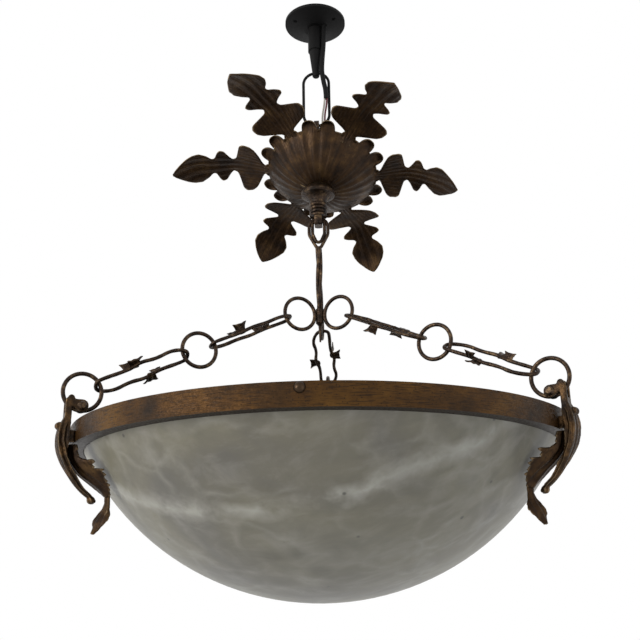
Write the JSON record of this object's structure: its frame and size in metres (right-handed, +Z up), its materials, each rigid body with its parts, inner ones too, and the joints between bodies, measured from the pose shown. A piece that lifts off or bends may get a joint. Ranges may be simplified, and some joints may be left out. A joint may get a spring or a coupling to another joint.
{
  "type": "bowl pendant light",
  "caption": "Inverted-dome stone bowl in a bronze rim band, hung on leafy link chains from a twisted hanger rod, leafy canopy, oval ring and ceiling hook.",
  "frame": {"origin": "centre of the ceiling plate's top face, which meets the ceiling", "axes": "+Z up out of the lamp into the ceiling; the chains stand at 90, 210 and 330 degrees from +X, and the usual view looks along +Y"},
  "size_m": [0.4499, 0.4688, 0.6029],
  "materials": {
    "black_iron": "satin black paint",
    "black_pvc": "smooth black flex sheath",
    "red_pvc": "dark red wire sleeve",
    "white_pvc": "grey-white wire sleeve",
    "terminal_plastic": "off-white terminal block",
    "bronze": "dark patinated bronze, rubbed to brown-gold at the edges",
    "bronze_band": "brown-gold aged bronze, pitted and scratched",
    "alabaster": "polished grey-olive alabaster with pale cloudy veins, translucent",
    "dark_screw": "blackened domed screw",
    "steel": "plain steel",
    "holder_plastic": "dark phenolic lampholder",
    "opal_glass": "opal glass bulb"
  },
  "bodies": {
    "ceiling_fixing": {"ceiling_plate": "black_iron", "ceiling_hook": "black_iron", "supply_flex": "black_pvc"},
    "ring": {"suspension_ring": "black_iron"},
    "stem": {"canopy_stem": "bronze", "canopy_boss": "bronze", "terminal_block": "terminal_plastic", "core_red": "red_pvc", "core_white": "white_pvc"},
    "washer": {"slip_washer": "bronze"},
    "canopy": {"canopy_cup": "bronze", "canopy_leaf_1": "bronze", "canopy_leaf_2": "bronze", "canopy_leaf_3": "bronze", "canopy_leaf_4": "bronze", "canopy_leaf_5": "bronze", "canopy_leaf_6": "bronze"},
    "lamp": {"hanger_rod": "bronze", "hub_ring_left": "bronze", "hub_ring_right": "bronze", "hub_ring_rear": "bronze", "rim_band": "bronze_band", "bracket_left": "bronze", "clasp_leaf_left": "bronze", "tail_leaf_left": "bronze", "bracket_right": "bronze", "clasp_leaf_right": "bronze", "tail_leaf_right": "bronze", "bracket_rear": "bronze", "clasp_leaf_rear": "bronze", "tail_leaf_rear": "bronze", "ring_pins": "bronze", "bracket_screws": "steel", "arm_screws": "dark_screw", "lamp_spider": "bronze_band", "lamp_hub": "bronze_band", "lampholders": "holder_plastic"},
    "bowl": {"alabaster_bowl": "alabaster"},
    "upper_link_left": {"upper_link_left": "bronze"},
    "lower_link_left": {"lower_link_left": "bronze"},
    "mid_ring_left": {"mid_ring_left": "bronze"},
    "end_ring_left": {"end_ring_left": "bronze"},
    "upper_link_right": {"upper_link_right": "bronze"},
    "lower_link_right": {"lower_link_right": "bronze"},
    "mid_ring_right": {"mid_ring_right": "bronze"},
    "end_ring_right": {"end_ring_right": "bronze"},
    "upper_link_rear": {"upper_link_rear": "bronze"},
    "lower_link_rear": {"lower_link_rear": "bronze"},
    "mid_ring_rear": {"mid_ring_rear": "bronze"},
    "end_ring_rear": {"end_ring_rear": "bronze"},
    "bulb_left": {"bulb_left": "opal_glass"},
    "bulb_right": {"bulb_right": "opal_glass"},
    "bulb_rear": {"bulb_rear": "opal_glass"}
  },
  "joints": [
    {"name": "ring_swing", "type": "hinge", "parent": "ceiling_fixing", "child": "ring", "pos_m": [0, 0, -0.064], "axis": [1, 0, 0], "range_deg": [-8, 8], "deforming": ["supply_flex"]},
    {"name": "stem_swing", "type": "hinge", "parent": "ring", "child": "stem", "pos_m": [0, 0, -0.12794], "axis": [0, 1, 0], "range_deg": [-8, 8], "deforming": ["core_red", "core_white"]},
    {"name": "washer_lift", "type": "slide", "parent": "stem", "child": "washer", "axis": [0, 0, 1], "range_m": [0, 0.03]},
    {"name": "canopy_tilt", "type": "hinge", "parent": "washer", "child": "canopy", "pos_m": [0, 0, -0.21613], "axis": [-0.9659, 0.2588, 0], "range_deg": [-18, 0]},
    {"name": "lamp_swing", "type": "hinge", "parent": "stem", "child": "lamp", "pos_m": [0, 0, -0.23519], "axis": [1, 0, 0], "range_deg": [-8, 8]},
    {"name": "upper_link_left_roll", "type": "hinge", "parent": "lamp", "child": "upper_link_left", "pos_m": [-0.0616, -0.03556, -0.36164], "axis": [-0.7824, -0.4517, -0.4287], "range_deg": [-45, 28]},
    {"name": "lower_link_left_roll", "type": "hinge", "parent": "lamp", "child": "lower_link_left", "pos_m": [-0.14789, -0.08539, -0.40892], "axis": [-0.7824, -0.4517, -0.4287], "range_deg": [-45, 2]},
    {"name": "mid_ring_left_spin", "type": "hinge", "parent": "lamp", "child": "mid_ring_left", "pos_m": [-0.10475, -0.06048, -0.38528], "axis": [0.5, -0.866, 0], "continuous": true},
    {"name": "end_ring_left_spin", "type": "hinge", "parent": "lamp", "child": "end_ring_left", "pos_m": [-0.19104, -0.1103, -0.43256], "axis": [0.5, -0.866, 0], "continuous": true},
    {"name": "upper_link_right_roll", "type": "hinge", "parent": "lamp", "child": "upper_link_right", "pos_m": [0.0616, -0.03556, -0.36164], "axis": [0.7824, -0.4517, -0.4287], "range_deg": [-45, 26]},
    {"name": "lower_link_right_roll", "type": "hinge", "parent": "lamp", "child": "lower_link_right", "pos_m": [0.14789, -0.08539, -0.40892], "axis": [0.7824, -0.4517, -0.4287], "range_deg": [-45, 6]},
    {"name": "mid_ring_right_spin", "type": "hinge", "parent": "lamp", "child": "mid_ring_right", "pos_m": [0.10475, -0.06048, -0.38528], "axis": [0.5, 0.866, 0], "continuous": true},
    {"name": "end_ring_right_spin", "type": "hinge", "parent": "lamp", "child": "end_ring_right", "pos_m": [0.19104, -0.1103, -0.43256], "axis": [0.5, 0.866, 0], "continuous": true},
    {"name": "upper_link_rear_roll", "type": "hinge", "parent": "lamp", "child": "upper_link_rear", "pos_m": [0, 0.07112, -0.36164], "axis": [0, 0.9034, -0.4287], "range_deg": [-38, 40]},
    {"name": "lower_link_rear_roll", "type": "hinge", "parent": "lamp", "child": "lower_link_rear", "pos_m": [0, 0.17078, -0.40892], "axis": [0, 0.9034, -0.4287], "range_deg": [-24, 45]},
    {"name": "mid_ring_rear_spin", "type": "hinge", "parent": "lamp", "child": "mid_ring_rear", "pos_m": [0, 0.12095, -0.38528], "axis": [-1, 0, 0], "continuous": true},
    {"name": "end_ring_rear_spin", "type": "hinge", "parent": "lamp", "child": "end_ring_rear", "pos_m": [0, 0.2206, -0.43256], "axis": [-1, 0, 0], "continuous": true},
    {"name": "bowl_turn", "type": "hinge", "parent": "lamp", "child": "bowl", "pos_m": [0, 0, -0.47726], "axis": [0, 0, 1], "continuous": true},
    {"name": "bulb_left_turn", "type": "hinge", "parent": "lamp", "child": "bulb_left", "pos_m": [-0.05196, -0.03, -0.48577], "axis": [-0.866, -0.5, 0], "continuous": true},
    {"name": "bulb_right_turn", "type": "hinge", "parent": "lamp", "child": "bulb_right", "pos_m": [0.05196, -0.03, -0.48577], "axis": [0.866, -0.5, 0], "continuous": true},
    {"name": "bulb_rear_turn", "type": "hinge", "parent": "lamp", "child": "bulb_rear", "pos_m": [0, 0.06, -0.48577], "axis": [0, 1, 0], "continuous": true}
  ]
}
